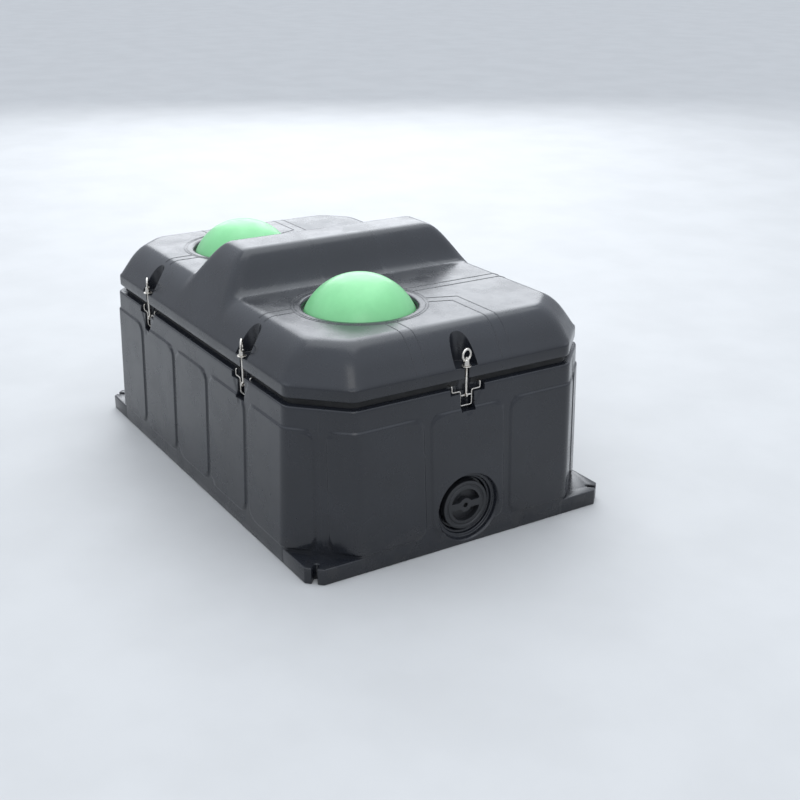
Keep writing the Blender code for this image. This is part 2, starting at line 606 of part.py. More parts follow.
def make_float():
    """Arm hung on the pin, its short lever against the piston, and a round float below it."""
    pivot = ARM_PIVOT
    arm = cylinder("float_arm", (-0.0045, *pivot.yz), (0.0045, *pivot.yz), 0.0062, sides=16, spec=BRASS)
    lever = box("arm_lever", (-0.0042, pivot.y - 0.0125, pivot.z - 0.003), (0.0042, pivot.y - 0.0095, pivot.z + 0.0195))
    link = box("arm_link", (-0.0042, pivot.y - 0.012, pivot.z - 0.0035), (0.0042, pivot.y, pivot.z + 0.0035))
    rod = cylinder("arm_rod", (0, pivot.y - 0.010, pivot.z - 0.001), (0, FLOAT_Y, FLOAT_Z + 0.048), 0.0032, sides=12)
    drop = cylinder("arm_drop", (0, FLOAT_Y, FLOAT_Z + 0.0500), (0, FLOAT_Y, FLOAT_Z - 0.040), 0.0032, sides=12)
    for piece in (lever, link, rod, drop):
        boolean(arm, piece, "UNION")
    boolean(arm, cylinder("arm_hole", (-0.02, *pivot.yz), (0.02, *pivot.yz), 0.0025, sides=12))
    profile = [(0.0036, -0.032), (0.030, -0.032), (0.040, -0.022), (0.040, 0.022), (0.030, 0.032), (0.0036, 0.032)]
    turned("float", profile, (0, FLOAT_Y, FLOAT_Z), spec=FLOAT, steps=28)
    hex_nut("float_nut", (0, FLOAT_Y, FLOAT_Z), -0.0375, -0.0325, 0.0075, 0.0036)


def main():
    make_tub()
    make_tub_insulation()
    make_lid()
    make_lid_insulation("front", 1)
    make_lid_insulation("rear", -1)
    make_lid_gasket()
    for word, x in ball_places():
        make_ball(word, x)
        make_ball_seal(word, x)
    for name, point, angle in latch_places():
        make_latch(name, point, angle)
    make_drain()
    make_inlet()
    make_valve()
    make_float()


main()
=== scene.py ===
"""Looks of the livestock water trough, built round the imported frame. Metres, +Z up, the CAD's own frame."""

import json
import math

import bmesh
import bpy
import numpy as np
from mathutils import Matrix, Vector


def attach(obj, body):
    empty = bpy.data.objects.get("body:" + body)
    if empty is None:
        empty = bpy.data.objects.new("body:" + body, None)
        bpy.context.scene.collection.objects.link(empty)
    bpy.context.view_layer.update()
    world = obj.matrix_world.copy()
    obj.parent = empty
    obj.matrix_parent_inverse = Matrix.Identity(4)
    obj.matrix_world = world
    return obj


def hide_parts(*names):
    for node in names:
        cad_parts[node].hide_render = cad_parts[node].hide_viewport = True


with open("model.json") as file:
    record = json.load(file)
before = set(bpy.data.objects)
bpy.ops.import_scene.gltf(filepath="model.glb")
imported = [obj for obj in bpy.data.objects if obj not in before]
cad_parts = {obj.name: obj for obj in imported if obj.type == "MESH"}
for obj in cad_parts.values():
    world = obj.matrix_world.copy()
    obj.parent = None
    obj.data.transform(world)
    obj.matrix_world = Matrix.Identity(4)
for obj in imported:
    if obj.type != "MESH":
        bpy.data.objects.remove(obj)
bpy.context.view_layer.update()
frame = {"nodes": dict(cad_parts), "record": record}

# ---------------------------------------------------------------- sizes, the same as the CAD's
HALF_L, HALF_W, CHAMFER = 0.605, 0.390, 0.109
FOOT_L, FOOT_W, FOOT_CHAMFER, FOOT_TOP = 0.619, 0.400, 0.126, 0.0375
FOOT_CORNER = 0.031             # how much of each lug's outer corner is cut off
RIM_Z, LAND_Z, LAND_INSET = 0.373, 0.383, 0.018
BASIN_TOP, BASIN_LOW, BASIN_FLOOR = 0.060, 0.072, 0.045
NOTCH_R, NOTCH_REACH = 0.0065, 0.0405
INLET_Y, INLET_R, WELL_R, WELL_TOP = 0.200, 0.017, 0.040, 0.030
LID_INSET, LID_LOW, LID_CREASE, LID_TOP, LID_SKIN = 0.004, 0.390, 0.416, 0.4985, 0.0078
SLOPE = 0.073 / 0.047
HUMP_TOP, HUMP_HALF_TOP, HUMP_HALF_FOOT = 0.590, 0.034, 0.140
SIDE_BLEND, CORNER_BLEND, HUMP_BLEND = 0.012, 0.016, 0.048
BALL_R, BALL_X, BALL_Y, BALL_Z, HOLE_R, LIP = 0.140, 0.311, -0.098, 0.430, 0.131, 0.009
COLLAR_R, SEAT_Z = 0.147, 0.4872
SEAL_R, SEAL_LOW, SEAL_HIGH = 0.1462, 0.4785, 0.4866
LATCH_X, LATCH_INSET, PIVOT_Z, LEDGE_Z = 0.285, 0.007, 0.352, 0.4155
WASHER_Z, WASHER_R, WASHER_T, NUT_LIFT = 0.418, 0.011, 0.0016, 0.002
THREAD_LOW, THREAD_TOP, PITCH = 0.3865, 0.4375, 0.00125
U_HALF, WING, WIRE_R, BOLT_R = 0.0150, 0.037, 0.0016, 0.003
DRAIN_Z, DRAIN_FACE, SOCKET_DEPTH = 0.0895, FOOT_L - 0.004, 0.030
CAP_R, CAP_FACE, CAP_BACK, KIDNEY_DEPTH = 0.058, 0.607, FOOT_L - 0.030, 0.016

# ---------------------------------------------------------------- sizes of what only the looks show
RELIEF, RELIEF_EDGE, RELIEF_CORNER = 0.0034, 0.0050, 0.030
PANEL_LOW, PANEL_HIGH = 0.044, 0.325
SEAM_RISE, SEAM_HALF = 0.0009, 0.0022
V_LOW, V_DEPTH = 0.300, 0.0016
LINE_WIDTH, LINE_RISE, RING_LINES = 0.0024, 0.0011, (0.150, 0.1565)
CORNER_ROUND = 0.013
TOP_INSET = 0.100               # inside this the lid's rings shrink in proportion, by SHRINKS
SHRINKS = [1.0, *np.arange(0.985, 0.30, -0.03), *np.arange(0.29, 0.015, -0.0095)]
TUB_SHARP, LID_SHARP = 33, 42   # degrees: walls meet at less, cut edges at more

END_SIDE, LONG_SIDE, SLANT_SIDE = 2 * (HALF_W - CHAMFER), 2 * (HALF_L - CHAMFER), CHAMFER * math.sqrt(2)
SIDE_LENGTHS = [END_SIDE, SLANT_SIDE, LONG_SIDE, SLANT_SIDE] * 2
END_PANELS = [(-0.097, 0.097), (0.115, 0.344), (-0.344, -0.115)]
LUGS = [("front_right", 1, 1), ("front_left", 1, -1), ("rear_right", -1, 1), ("rear_left", -1, -1)]
LONG_PANELS = [(-0.095, 0.095), (0.110, 0.306), (-0.306, -0.110), (0.3245, 0.559), (-0.559, -0.3245)]


# ---------------------------------------------------------------- material nodes
class Nodes:
    """Short way to add nodes to one material and to link them."""

    def __init__(self, name):
        self.material = bpy.data.materials.new(name)
        self.material.use_nodes = True
        self.tree = self.material.node_tree
        self.shader = self.tree.nodes["Principled BSDF"]
        self.where = self.add("ShaderNodeTexCoord").outputs["Object"]

    def add(self, kind, **settings):
        made = self.tree.nodes.new(kind)
        for key, value in settings.items():
            setattr(made, key, value)
        return made

    def put(self, value, socket):
        if isinstance(value, bpy.types.NodeSocket):
            self.tree.links.new(value, socket)
        else:
            socket.default_value = value

    def noise(self, scale, detail=3.0, stretch=None, rough=0.55):
        made = self.add("ShaderNodeTexNoise")
        self.put(scale, made.inputs["Scale"])
        self.put(detail, made.inputs["Detail"])
        self.put(rough, made.inputs["Roughness"])
        source = self.where
        if stretch:
            mapping = self.add("ShaderNodeMapping")
            self.put(source, mapping.inputs["Vector"])
            self.put(stretch, mapping.inputs["Scale"])
            source = mapping.outputs["Vector"]
        self.put(source, made.inputs["Vector"])
        return made.outputs["Fac"]

    def remap(self, value, low, high, to_low, to_high):
        made = self.add("ShaderNodeMapRange", interpolation_type="SMOOTHSTEP")
        for socket, v in zip(made.inputs, (value, low, high, to_low, to_high)):
            self.put(v, socket)
        return made.outputs["Result"]

    def math(self, operation, a, b=0.0):
        made = self.add("ShaderNodeMath", operation=operation)
        self.put(a, made.inputs[0])
        self.put(b, made.inputs[1])
        return made.outputs["Value"]

    def mix(self, factor, a, b):
        made = self.add("ShaderNodeMix", data_type="RGBA")
        self.put(factor, made.inputs["Factor"])
        for socket, colour in ((made.inputs[6], a), (made.inputs[7], b)):
            self.put((*colour, 1.0) if isinstance(colour, tuple) else colour, socket)
        return made.outputs[2]

    def height(self):
        split = self.add("ShaderNodeSeparateXYZ")
        self.put(self.where, split.inputs[0])
        return split.outputs["Z"]

    def bump(self, height, strength, distance, normal=None):
        made = self.add("ShaderNodeBump")
        self.put(height, made.inputs["Height"])
        self.put(strength, made.inputs["Strength"])
        self.put(distance, made.inputs["Distance"])
        if normal is not None:
            self.put(normal, made.inputs["Normal"])
        return made.outputs["Normal"]

    def surface(self, colour=None, roughness=None, normal=None, fixed=()):
        for key, value in (("Base Color", colour), ("Roughness", roughness), ("Normal", normal)):
            if value is not None:
                self.put((*value, 1.0) if isinstance(value, tuple) else value, self.shader.inputs[key])
        for key, value in fixed:
            self.shader.inputs[key].default_value = value
        return self.material


def moulded_plastic(name, dark, light, rough, round_edges=0.0025, dust=0.09):
    """Rotomoulded polyethylene: orange peel, upright drag marks, faint clouds and a little dust low down."""
    n = Nodes(name)
    clouds = n.noise(7.0, 4.0)
    streaks = n.noise(1.0, 3.0, (330.0, 330.0, 11.0), 0.6)
    scratches = n.noise(1.0, 2.0, (900.0, 900.0, 26.0), 0.7)
    base = n.mix(n.remap(clouds, 0.35, 0.7, 0.0, 1.0), dark, light)
    worn = n.math("MULTIPLY", n.remap(streaks, 0.55, 0.8, 0.0, 1.0),
                  n.remap(scratches, 0.5, 0.72, 0.0, 0.35))
    base = n.mix(worn, base, tuple(2.6 * c for c in light))
    low = n.math("MULTIPLY", n.remap(n.height(), 0.0, 0.13, 1.0, 0.0),
                 n.remap(n.noise(24.0, 5.0), 0.42, 0.68, 0.0, dust))
    base = n.mix(low, base, (0.11, 0.10, 0.085))
    roughness = n.math("ADD", n.remap(n.noise(13.0, 4.0), 0.3, 0.7, rough - 0.05, rough + 0.07),
                       n.math("MULTIPLY", worn, 0.35))
    bevel = n.add("ShaderNodeBevel", samples=6)
    bevel.inputs["Radius"].default_value = round_edges
    normal = n.bump(n.noise(9.0, 2.0), 0.16, 0.0015, bevel.outputs["Normal"])
    normal = n.bump(n.noise(380.0, 2.0), 0.22, 0.0003, normal)
    normal = n.bump(streaks, 0.16, 0.0003, normal)
    return n.surface(base, roughness, normal, [("Specular IOR Level", 0.55)])


def soft_plastic(name, colour, rough, coat=0.0):
    """Plain plastic or rubber with a few lighter scuffs."""
    n = Nodes(name)
    lighter = tuple(min(1.0, c * 1.12 + 0.01) for c in colour)
    base = n.mix(n.remap(n.noise(9.0, 4.0), 0.35, 0.68, 0.0, 1.0), colour, lighter)
    scuffs = n.remap(n.noise(1.0, 3.0, (60.0, 60.0, 240.0), 0.7), 0.62, 0.78, 0.0, 0.3)
    base = n.mix(scuffs, base, tuple(min(1.0, c * 1.25 + 0.05) for c in colour))
    roughness = n.remap(n.noise(30.0, 4.0), 0.3, 0.7, rough - 0.06, rough + 0.08)
    normal = n.bump(n.noise(300.0, 2.0), 0.18, 0.0003, n.bump(n.noise(18.0, 2.0), 0.2, 0.001))
    return n.surface(base, roughness, normal, [("Coat Weight", coat)])


def metal(name, colour, rough, stain):
    """Drawn or turned metal with duller, stained patches."""
    n = Nodes(name)
    patches = n.remap(n.noise(85.0, 5.0), 0.45, 0.72, 0.0, 0.65)
    base = n.mix(patches, colour, stain)
    roughness = n.remap(n.noise(240.0, 4.0), 0.3, 0.7, rough - 0.06, rough + 0.16)
    normal = n.bump(n.noise(1.0, 3.0, (1500.0, 1500.0, 240.0)), 0.12, 0.0002)
    return n.surface(base, roughness, normal, [("Metallic", 1.0)])


def foam_material(name, colour):
    """Cut face of rigid foam, all small cells."""
    n = Nodes(name)
    cells = n.add("ShaderNodeTexVoronoi")
    n.put(n.where, cells.inputs["Vector"])
    n.put(420.0, cells.inputs["Scale"])
    base = n.mix(n.remap(n.noise(30.0, 4.0), 0.3, 0.7, 0.0, 1.0), colour, tuple(c * 0.8 for c in colour))
    return n.surface(base, 0.9, n.bump(cells.outputs["Distance"], 0.5, 0.001))


def ground_material():
    n = Nodes("pale_floor")
    base = n.mix(n.remap(n.noise(3.0, 4.0), 0.3, 0.7, 0.0, 1.0), (0.50, 0.50, 0.495), (0.53, 0.53, 0.525))
    return n.surface(base, 0.7)


BLACK = moulded_plastic("anthracite_polyethylene", (0.0115, 0.0130, 0.0170), (0.0145, 0.0165, 0.0215), 0.24)
CAP_BLACK = moulded_plastic("black_cap_plastic", (0.012, 0.013, 0.015), (0.017, 0.018, 0.021), 0.42,
                            round_edges=0.0012, dust=0.0)
GREEN = soft_plastic("light_green_plastic", (0.20, 0.57, 0.245), 0.40, 0.15)
STEEL = metal("bright_stainless", (0.66, 0.63, 0.58), 0.24, (0.42, 0.38, 0.33))
BRASS = metal("machined_brass", (0.72, 0.53, 0.24), 0.3, (0.45, 0.30, 0.13))
RUBBER = soft_plastic("black_seal_rubber", (0.012, 0.012, 0.012), 0.75)
PIPE = soft_plastic("blue_water_pipe", (0.04, 0.15, 0.42), 0.45)
RED = soft_plastic("red_float_plastic", (0.52, 0.05, 0.035), 0.45)
FOAM = foam_material("rigid_foam", (0.80, 0.70, 0.44))
LOOKS = {"moulded_black": BLACK, "ball_green": GREEN, "stainless_steel": STEEL, "brass": BRASS,
         "seal_rubber": RUBBER, "insulation_foam": FOAM, "pipe_blue": PIPE, "float_red": RED}


# ---------------------------------------------------------------- mesh helpers
def put_in_scene(name, mesh, look, sharp):
    made = bpy.data.objects.new(name, mesh)
    bpy.context.scene.collection.objects.link(made)
    smooth(made, sharp)
    if look:
        mesh.materials.append(look)
    return made


def make_object(name, bm, look=None, sharp=38):
    mesh = bpy.data.meshes.new(name)
    bm.to_mesh(mesh)
    bm.free()
    return put_in_scene(name, mesh, look, sharp)


def smooth(made, sharp):
    """Smooth shading, with edges kept sharp where faces meet at more than this many degrees."""
    made.data.shade_smooth()
    made.data.set_sharp_from_angle(angle=math.radians(sharp))


def skin(name, rows, look=None, sharp=38):
    """Closed solid through rings of equally many points, wound anticlockwise, with a flat cap at each end."""
    count = len(rows[0])
    verts = np.concatenate(rows)
    faces = []
    for r in range(len(rows) - 1):
        a, b = r * count, (r + 1) * count
        faces += [(a + i, a + (i + 1) % count, b + (i + 1) % count, b + i) for i in range(count)]
    faces.append(tuple(range(count - 1, -1, -1)))
    last = (len(rows) - 1) * count
    faces.append(tuple(range(last, last + count)))
    mesh = bpy.data.meshes.new(name)
    mesh.from_pydata(verts.tolist(), [], faces)
    return put_in_scene(name, mesh, look, sharp)


def apply_cuts(target, cutters, sharp=38):
    """Takes the cutters out of the target for good."""
    for cutter in cutters:
        step = target.modifiers.new("cut", "BOOLEAN")
        step.operation = "DIFFERENCE"
        step.solver = "EXACT"
        step.object = cutter
    bake(target)
    for cutter in cutters:
        bpy.data.objects.remove(cutter)
    smooth(target, sharp)


def bake(target):
    """Turns the modifiers' result into the piece's own mesh."""
    bpy.context.view_layer.update()
    graph = bpy.context.evaluated_depsgraph_get()
    fresh = bpy.data.meshes.new_from_object(target.evaluated_get(graph))
    target.modifiers.clear()
    target.data = fresh


def revolve(bm, profile, steps, place=Matrix.Identity(4), closed=False):
    """Adds the (radius, height) profile swept round Z. An open profile is capped with fans at both ends."""
    rows = []
    for r, h in profile:
        ring = [bm.verts.new(place @ Vector((r * math.cos(a), r * math.sin(a), h)))
                for a in (math.tau * k / steps for k in range(steps))]
        rows.append(ring)
    pairs = list(zip(rows, rows[1:])) + ([(rows[-1], rows[0])] if closed else [])
    for low, high in pairs:
        for i in range(steps):
            j = (i + 1) % steps
            bm.faces.new((low[i], low[j], high[j], high[i]))
    if not closed:
        bm.faces.new(rows[0][::-1])
        bm.faces.new(rows[-1])


def lathe(name, profile, steps, place=Matrix.Identity(4), closed=False, look=None):
    bm = bmesh.new()
    revolve(bm, profile, steps, place, closed)
    bmesh.ops.recalc_face_normals(bm, faces=bm.faces)
    return make_object(name, bm, look)


def rounded_profile(corners, radius, steps=4):
    """Each inner corner of a (radius, height) line replaced by a short arc."""
    out = [corners[0]]
    for before, here, after in zip(corners, corners[1:], corners[2:]):
        b, h, a = Vector(before), Vector(here), Vector(after)
        cut = min(radius, (b - h).length * 0.45, (a - h).length * 0.45)
        start, end = h + (b - h).normalized() * cut, h + (a - h).normalized() * cut
        for k in range(steps + 1):
            t = k / steps
            p = start * (1 - t) ** 2 + h * 2 * t * (1 - t) + end * t * t
            out.append((p.x, p.y))
    out.append(corners[-1])
    return out


def prism(name, outline, low, high, place=Matrix.Identity(4)):
    """Cutter with an (x, y) outline, anticlockwise, from one height to another."""
    rows = [np.array([tuple(place @ Vector((x, y, z))) for x, y in outline]) for z in (low, high)]
    return skin(name, rows)


def rounded_box(half_x, half_y, radius, shift_x=0.0, steps=5):
    """Rectangle outline with rounded corners, shifted along X."""
    points = []
    for k, (sx, sy) in enumerate(((1, 1), (-1, 1), (-1, -1), (1, -1))):
        for i in range(steps + 1):
            a = math.pi / 2 * (k + i / steps)
            points.append((sx * (half_x - radius) + radius * math.cos(a) + shift_x,
                           sy * (half_y - radius) + radius * math.sin(a)))
    return points


def circle(radius, steps, centre=(0.0, 0.0)):
    return [(centre[0] + radius * math.cos(a), centre[1] + radius * math.sin(a))
            for a in (math.tau * k / steps for k in range(steps))]


def ride(piece, body, slot, *stands_for):
    """Fixes a piece to its body and hides the CAD nodes that it is shown instead of. The slot is not used."""
    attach(piece, body)
    if stands_for:
        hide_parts(*stands_for)


# ---------------------------------------------------------------- octagon outlines
def corners_of(half_l, half_w, chamfer):
    """The octagon's corners, anticlockwise from the start of the +X side."""
    return np.array([
        (half_l, -half_w + chamfer), (half_l, half_w - chamfer),
        (half_l - chamfer, half_w), (-half_l + chamfer, half_w),
        (-half_l, half_w - chamfer), (-half_l, -half_w + chamfer),
        (-half_l + chamfer, -half_w), (half_l - chamfer, -half_w)])


def inset_corners(inset, half_l=HALF_L, half_w=HALF_W, chamfer=CHAMFER):
    return corners_of(half_l - inset, half_w - inset, chamfer - inset * (2 - math.sqrt(2)))


def unit(v):
    return v / np.linalg.norm(v)


def outline(corners, samples):
    """Points along the octagon at each side's sample fractions, with its corners rounded."""
    radius = CORNER_ROUND
    points = []
    for k in range(8):
        before, start, end, after = (corners[(k + j) % 8] for j in (-1, 0, 1, 2))
        along, length = unit(end - start), np.linalg.norm(end - start)
        for t in samples[k]:
            a = t * length
            if a < radius:
                here, p, q = start, start + unit(before - start) * radius, start + along * radius
                s = (a + radius) / (2 * radius)
            elif length - a < radius:
                here, p, q = end, end - along * radius, end + unit(after - end) * radius
                s = (a - length + radius) / (2 * radius)
            else:
                points.append(start + along * a)
                continue
            points.append(p * (1 - s) ** 2 + here * 2 * s * (1 - s) + q * s * s)
    return np.array(points)


def side_samples(length, spacing, marks=(), dense=()):
    """Fractions along a side: an even spacing, closer at marked positions, corners and dense stretches."""
    near_mark = (-0.009, -0.0055, -0.0032, -0.0018, -0.0004, 0.0010, 0.0024, 0.0042, 0.0075)
    half = length / 2
    spots = set(np.linspace(-half, half, max(2, round(length / spacing)) + 1)[:-1])
    for mark in marks:
        spots.update(mark + o for o in near_mark)
    for low, high, step in dense:
        spots.update(np.arange(low, high, step))
    spots.update(s * (half - o) for s in (-1, 1) for o in (0.0, 0.003, 0.006, 0.0095, CORNER_ROUND))
    kept = []
    for a in sorted(spots):
        if -half <= a < half - 1e-4 and (not kept or a - kept[-1] > 0.0009):
            kept.append(a)
    return [(a + half) / length for a in kept]


def wall_samples():
    """Where the tub's wall has points: close together at the fields' edges, the seam and the latches."""
    end_reach = END_PANELS[1][1] - END_SIDE / 2
    long_reach = LONG_PANELS[3][1] - LONG_SIDE / 2
    samples = []
    for k, length in enumerate(SIDE_LENGTHS):
        panels = [END_PANELS, [], LONG_PANELS, []][k % 4]
        marks = {e for panel in panels for e in panel if abs(e) < length / 2}
        if k % 2:
            marks = {0.0} | {s * (length / 2 - reach) for s in (-1, 1) for reach in (end_reach, long_reach)}
        latches = [[0.0], [], [-LATCH_X, LATCH_X], []][k % 4]
        dense = [(a - 0.056, a + 0.056, 0.0042) for a in latches]
        samples.append(side_samples(length, 0.014, marks, dense))
    return samples


def wall_arcs(samples):
    """For each sample, (kind, distance from the middle) of its own side, or of both next to a slant."""
    arcs = []
    for k, length in enumerate(SIDE_LENGTHS):
        for t in samples[k]:
            a = (t - 0.5) * length
            if k % 2 == 0:
                arcs.append([(k % 4, a)])
                continue
            before, after = SIDE_LENGTHS[k - 1], SIDE_LENGTHS[(k + 1) % 8]
            arcs.append([((k - 1) % 4, before / 2 + length / 2 + a),
                         ((k + 1) % 4, a - after / 2 - length / 2)])
    return arcs


def smoothstep(t):
    t = min(1.0, max(0.0, t))
    return t * t * (3 - 2 * t)


def relief(views, z):
    """How far the wall stands out here: rounded fields, a seam down each slant, a V under each latch."""
    best = 0.0
    if len(views) == 2:
        kind, a = views[0]
        seam = abs(a - (END_SIDE if kind == 0 else LONG_SIDE) / 2 - SLANT_SIDE / 2)
        best = SEAM_RISE * smoothstep(1.0 - seam / SEAM_HALF)
    for kind, a in views:
        for low, high in (END_PANELS if kind == 0 else LONG_PANELS):
            qx = abs(a - (low + high) / 2) - (high - low) / 2 + RELIEF_CORNER
            qz = abs(z - (PANEL_LOW + PANEL_HIGH) / 2) - (PANEL_HIGH - PANEL_LOW) / 2 + RELIEF_CORNER
            d = math.hypot(max(qx, 0), max(qz, 0)) + min(max(qx, qz), 0) - RELIEF_CORNER
            best = max(best, RELIEF * smoothstep(0.5 - d / RELIEF_EDGE))
        for spot in ([0.0] if kind == 0 else [-LATCH_X, LATCH_X]):
            side = abs(a - spot) - 0.013 - (z - 0.322) * 0.62
            if z > V_LOW:
                best -= V_DEPTH * smoothstep(0.5 - side / 0.005) * smoothstep((z - V_LOW - 0.006) / 0.008)
    return best


def with_height(xy, z):
    """The (x, y) points, all at one height."""
    return np.column_stack([xy, np.full(len(xy), z)])


def outward(xy):
    """Level unit vectors out of a closed outline, one for each point."""
    along = np.roll(xy, -1, axis=0) - np.roll(xy, 1, axis=0)
    normal = np.column_stack([along[:, 1], -along[:, 0]])
    return normal / np.linalg.norm(normal, axis=1)[:, None]


# ---------------------------------------------------------------- tub
def wall_corners(z):
    """Corners of the tapering wall at one height."""
    t = max(0.0, (z - FOOT_TOP) / (RIM_Z - 0.004 - FOOT_TOP))
    return corners_of(FOOT_L, FOOT_W, FOOT_CHAMFER) * (1 - t) + corners_of(HALF_L, HALF_W, CHAMFER) * t


def latch_places():
    """Name, turn and shift of each latch: X points away from the tub and Z up."""
    places = {"end_front": ((HALF_L, 0.0), 0.0), "end_rear": ((-HALF_L, 0.0), math.pi)}
    for side, word in ((-1, "left"), (1, "right")):
        for x, where in ((LATCH_X, "front"), (-LATCH_X, "rear")):
            places[f"{word}_{where}"] = ((x, side * HALF_W), side * math.pi / 2)
    return {n: Matrix.Translation((*p, 0.0)) @ Matrix.Rotation(a, 4, "Z") for n, (p, a) in places.items()}


LATCHES = latch_places()
DRAIN_PLACE = Matrix.Translation((0, 0, DRAIN_Z)) @ Matrix.Rotation(math.pi / 2, 4, "Y")


def drain_steps():
    """Stepped recess round the drain cap, as (radius, X) from inside to outside."""
    face, floor = DRAIN_FACE, DRAIN_FACE - SOCKET_DEPTH
    return rounded_profile([
        (0.050, 0.52), (0.050, floor), (0.064, floor), (0.0645, face - 0.018), (0.070, face - 0.018),
        (0.0705, face - 0.010), (0.0775, face - 0.010), (0.0785, face - 0.001), (0.0845, face + 0.0085),
        (0.0845, 0.65)], 0.0022)


def wall_levels():
    """Heights of the wall's rows of points: close together at the fields' edges and under the latches."""
    near_edge = (-0.009, -0.0055, -0.003, -0.0015, 0.0, 0.0015, 0.003, 0.0055, 0.009, 0.014, 0.020, 0.026)
    last, top = 0.3660, 0.3665      # the rim's own rows start above these
    heights = set(np.arange(FOOT_TOP + 0.012, last, 0.014)) | set(np.arange(0.302, last, 0.004))
    for edge in (PANEL_LOW, PANEL_HIGH):
        heights.update(edge + o for o in near_edge)
    levels = []
    for z in sorted(h for h in heights if FOOT_TOP < h < top):
        if not levels or z - levels[-1] > 0.0011:
            levels.append(z)
    return levels


def make_tub():
    """Foot, wall, rim, land and basin as one skin, with the drain, inlet and latch notches cut out of it."""
    samples = wall_samples()
    arcs = wall_arcs(samples)
    rows = []
    for inset, z in ((0.004, 0.0), (0.0012, 0.0008), (0.0, 0.004), (0.0, 0.02), (0.0, FOOT_TOP - 0.001)):
        rows.append(with_height(outline(inset_corners(inset, FOOT_L, FOOT_W, FOOT_CHAMFER), samples), z))
    for z in wall_levels():
        xy = outline(wall_corners(z), samples)
        push = np.array([relief(views, z) for views in arcs])
        rows.append(with_height(xy + outward(xy) * push[:, None], z))
    rim = ((0.0, RIM_Z - 0.0045), (0.0006, RIM_Z - 0.0022), (0.0018, RIM_Z - 0.0007), (0.004, RIM_Z))
    land = ((LAND_INSET - 0.002, RIM_Z), (LAND_INSET - 0.0004, RIM_Z + 0.001), (LAND_INSET, RIM_Z + 0.003),
            (LAND_INSET, LAND_Z - 0.002), (LAND_INSET + 0.002, LAND_Z))
    basin = ((BASIN_TOP - 0.006, LAND_Z), (BASIN_TOP - 0.001, LAND_Z - 0.002), (BASIN_TOP, LAND_Z - 0.007),
             (0.066, 0.21), (BASIN_LOW - 0.001, BASIN_FLOOR + 0.04), (BASIN_LOW + 0.006, BASIN_FLOOR + 0.010),
             (BASIN_LOW + 0.025, BASIN_FLOOR))
    for inset, z in rim + land + basin:
        rows.append(with_height(outline(inset_corners(inset), samples), z))
    tub = skin("tub_visual", rows, BLACK, TUB_SHARP)
    under = Matrix.Translation((0, INLET_Y, 0))
    cutters = [lathe("drain_cut", drain_steps(), 96, DRAIN_PLACE),
               lathe("inlet_cut", [(INLET_R, -0.01), (INLET_R, 0.10)], 40, under),
               lathe("inlet_well_cut", [(WELL_R, -0.01), (WELL_R, WELL_TOP)], 48, under)]
    for name, place in LATCHES.items():
        cutters.append(prism(f"notch_{name}", rounded_box(0.027, 0.0182, 0.006, 0.003), 0.318, 0.42, place))
        cutters.append(prism(f"step_{name}", rounded_box(0.024, 0.045, 0.006, 0.0052), 0.3585, 0.4215, place))
    apply_cuts(tub, cutters, TUB_SHARP)
    ride(tub, "base", "moulded_black", "base_tub")


def make_lug(word, sx, sy):
    """Notched anchor lug that fills one corner of the foot."""
    reach, hide = FOOT_CHAMFER + 0.012, 0.0007
    shape = [(0, -reach), (0, -FOOT_CORNER), (-FOOT_CORNER, 0), (-reach, 0), (-reach, -0.02), (-0.02, -reach)]
    shape = np.array(shape) + (FOOT_L - hide, FOOT_W - hide)
    lug = skin(f"anchor_lug_{word}", [with_height(shape, z) for z in (0.0, FOOT_TOP)], BLACK)
    centre = Vector((FOOT_L, FOOT_W, 0)) - Vector((1, 1, 0)).normalized() * NOTCH_REACH
    turn = Matrix.Translation(centre) @ Matrix.Rotation(math.pi / 4, 4, "Z")
    arc = [(NOTCH_R * math.cos(a), NOTCH_R * math.sin(a))
           for a in (math.pi / 2 + math.pi * k / 10 for k in range(11))]
    notch = arc + [(0.09, -NOTCH_R), (0.09, NOTCH_R)]
    apply_cuts(lug, [prism(f"lug_notch_{word}", notch, -0.02, 0.08, turn)])
    bevel = lug.modifiers.new("edge", "BEVEL")
    bevel.width, bevel.segments, bevel.limit_method, bevel.angle_limit = 0.0022, 3, "ANGLE", math.radians(40)
    bake(lug)
    if sx * sy < 0:
        lug.data.flip_normals()
    lug.data.transform(Matrix.Diagonal((sx, sy, 1, 1)))
    smooth(lug, 40)
    ride(lug, "base", "moulded_black", "base_tub")


# ---------------------------------------------------------------- lid
def soft_min(a, b, k):
    """The lesser of two heights, with the crease between them rounded over a width of k."""
    h = np.clip(0.5 + 0.5 * (b - a) / k, 0.0, 1.0)
    return b + (a - b) * h - k * h * (1 - h)


def lid_height(x, y):
    """Outer surface of the lid: sloping sides, flat top and cross hump, each run softly into the next."""
    ends, sides = HALF_L - LID_INSET - np.abs(x), HALF_W - LID_INSET - np.abs(y)
    slants = (HALF_L + HALF_W - CHAMFER - np.abs(x) - np.abs(y)) * math.sqrt(0.5) - LID_INSET
    depth = soft_min(soft_min(ends, sides, SIDE_BLEND), slants, CORNER_BLEND)
    steep = LID_CREASE + SLOPE * depth
    t = np.clip((HUMP_HALF_FOOT - np.abs(x)) / (HUMP_HALF_FOOT - HUMP_HALF_TOP), 0.0, 1.0)
    hump = LID_TOP + (HUMP_TOP - LID_TOP) * t ** 3 * (6 * t * t - 15 * t + 10)
    return soft_min(steep, hump, HUMP_BLEND)


def lid_ring(samples, inset, z=None, lift=0.0, scale=1.0):
    """One octagonal ring of points: at height z, or where none is given on the lid's surface."""
    xy = outline(inset_corners(LID_INSET + inset), samples) * scale
    if z is not None:
        return with_height(xy, z)
    return np.column_stack([xy, lid_height(xy[:, 0], xy[:, 1]) + lift])


